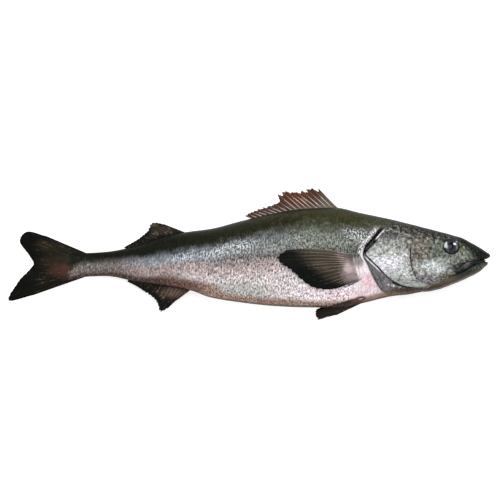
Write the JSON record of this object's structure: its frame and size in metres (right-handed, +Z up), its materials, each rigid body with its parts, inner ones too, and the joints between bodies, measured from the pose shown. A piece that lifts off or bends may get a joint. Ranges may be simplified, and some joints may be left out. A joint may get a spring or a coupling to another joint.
{
  "type": "whole sablefish",
  "caption": "Whole sablefish lying on its left side: slender body, gill covers, parted jaws and spread fins in one solid, with an eyeball in each socket.",
  "frame": {"origin": "middle of the fish's outline seen from above, on the flat patch it rests on", "axes": "+X from tail to snout, +Y from belly to back, +Z up through the right flank, which is the side that shows"},
  "size_m": [0.7244, 0.1964, 0.0951],
  "materials": {
    "fish_skin": "wet scaly skin: olive-black back, grey flank, silver-pink belly, black fins",
    "fish_eye": "wet, glassy, dark pupil in a silvery ring"
  },
  "bodies": {
    "root": {"fish": "fish_skin", "eye_right": "fish_eye", "eye_left": "fish_eye"}
  },
  "joints": []
}
